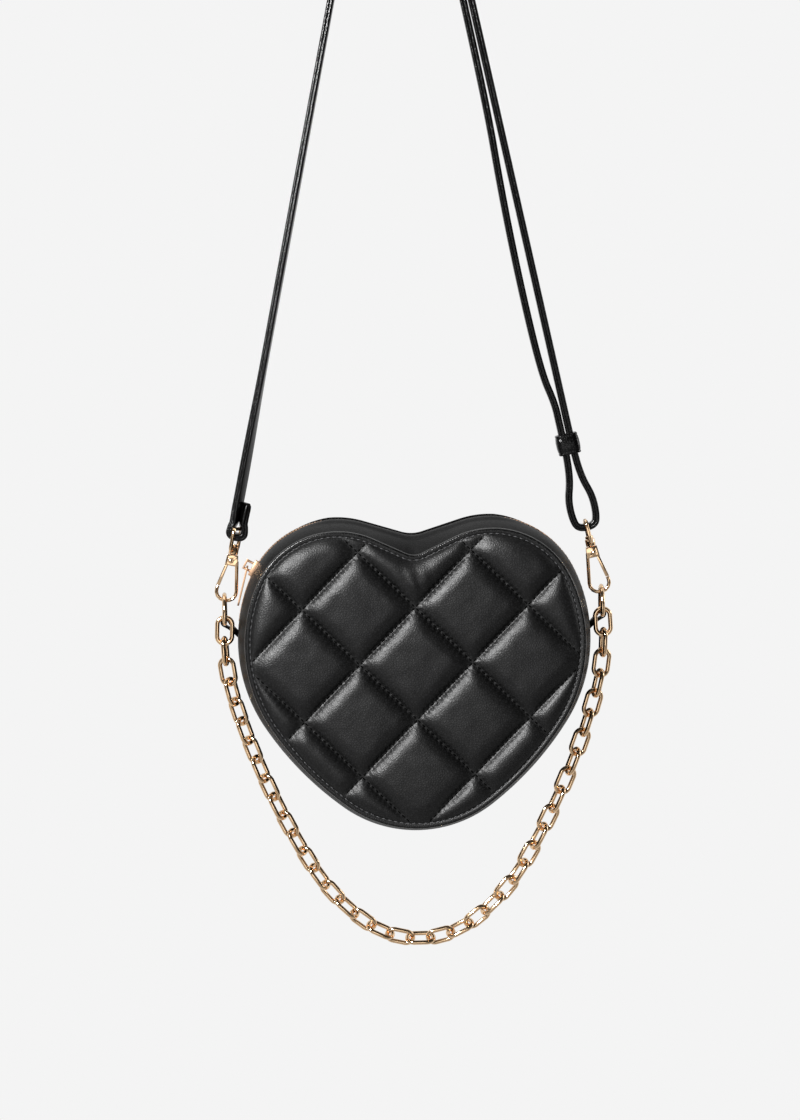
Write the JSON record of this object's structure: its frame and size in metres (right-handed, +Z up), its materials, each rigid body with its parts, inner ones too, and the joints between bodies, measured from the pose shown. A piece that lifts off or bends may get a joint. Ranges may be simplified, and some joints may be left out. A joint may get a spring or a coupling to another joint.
{
  "type": "heart shaped purse",
  "caption": "Heart shaped quilted leather purse with a zip over its lobes, hung by a looped shoulder strap on snap hooks and side rings, with a chain handle below.",
  "frame": {"origin": "underside of the shoulder strap at the top of its loop, where a peg or shoulder carries it", "axes": "+Z up, +X to the right seen from the front, -Y out of the quilted front"},
  "size_m": [0.2108, 0.06, 0.6313],
  "materials": {
    "black_leather": "smooth black, soft sheen",
    "zip_tape": "woven, black",
    "lining_cloth": "plain woven, black",
    "spring_steel": "drawn wire",
    "gold_metal": "polished, pale rose gold"
  },
  "bodies": {
    "strap": {"shoulder_strap": "black_leather", "left_swivel_eye": "gold_metal", "right_swivel_eye": "gold_metal", "strap_end_keeper": "black_leather"},
    "bag": {"front_panel": "black_leather", "back_panel": "black_leather", "lower_gusset": "black_leather", "zip_facing_front": "black_leather", "zip_facing_back": "black_leather", "zip_tape_front": "zip_tape", "zip_tape_back": "zip_tape", "zip_teeth_front": "gold_metal", "zip_teeth_back": "gold_metal", "zip_stops": "gold_metal", "front_lining": "lining_cloth", "back_lining": "lining_cloth", "gusset_lining": "lining_cloth", "left_tab": "black_leather", "right_tab": "black_leather", "chain_end_links": "gold_metal"},
    "left_hook": {"left_hook_body": "gold_metal", "left_gate_pin": "gold_metal", "left_gate_spring": "spring_steel"},
    "right_hook": {"right_hook_body": "gold_metal", "right_gate_pin": "gold_metal", "right_gate_spring": "spring_steel"},
    "left_gate": {"left_hook_gate": "gold_metal"},
    "right_gate": {"right_hook_gate": "gold_metal"},
    "left_ring": {"left_d_ring": "gold_metal"},
    "right_ring": {"right_d_ring": "gold_metal"},
    "chain": {"chain_links": "gold_metal"},
    "slider": {"zip_slider": "gold_metal"},
    "pull": {"zip_pull": "gold_metal"},
    "keeper": {"strap_keeper": "black_leather"}
  },
  "joints": [
    {"name": "bag_tilt", "type": "hinge", "parent": "strap", "child": "bag", "pos_m": [0, 0, -0.44041], "axis": [1, 0, 0], "range_deg": [-40, 40]},
    {"name": "chain_swing", "type": "hinge", "parent": "bag", "child": "chain", "pos_m": [0, -0.004, -0.46318], "axis": [1, 0, 0], "range_deg": [-90, 90]},
    {"name": "zip_travel", "type": "hinge", "parent": "bag", "child": "slider", "pos_m": [-0.0405, 0, -0.44901], "axis": [0, 1, 0], "range_deg": [0, 75]},
    {"name": "pull_swing", "type": "hinge", "parent": "slider", "child": "pull", "pos_m": [-0.08785, 0, -0.42422], "axis": [0.9668, 0, -0.2555], "range_deg": [-50, 50]},
    {"name": "keeper_slide", "type": "slide", "parent": "strap", "child": "keeper", "axis": [-0.2045, 0, 0.9789], "range_m": [0, 0.008]},
    {"name": "left_hook_swivel", "type": "hinge", "parent": "strap", "child": "left_hook", "pos_m": [-0.09489, 0, -0.41594], "axis": [0.2045, 0, 0.9789], "range_deg": [-20, 20]},
    {"name": "left_gate_open", "type": "hinge", "parent": "left_hook", "child": "left_gate", "pos_m": [-0.09621, 0, -0.41934], "axis": [0, -1, 0], "range_deg": [0, 25], "stiffness_Nm_per_rad": 0.01, "springref_deg": -20.05},
    {"name": "left_ring_swing", "type": "hinge", "parent": "bag", "child": "left_ring", "pos_m": [-0.1, 0, -0.45221], "axis": [0, 1, 0], "range_deg": [-2, 4]},
    {"name": "right_hook_swivel", "type": "hinge", "parent": "strap", "child": "right_hook", "pos_m": [0.09489, 0, -0.41594], "axis": [-0.2045, 0, 0.9789], "range_deg": [-20, 20]},
    {"name": "right_gate_open", "type": "hinge", "parent": "right_hook", "child": "right_gate", "pos_m": [0.09621, 0, -0.41934], "axis": [0, 1, 0], "range_deg": [0, 25], "stiffness_Nm_per_rad": 0.01, "springref_deg": -20.05},
    {"name": "right_ring_swing", "type": "hinge", "parent": "bag", "child": "right_ring", "pos_m": [0.1, 0, -0.45221], "axis": [0, 1, 0], "range_deg": [-4, 2]}
  ]
}
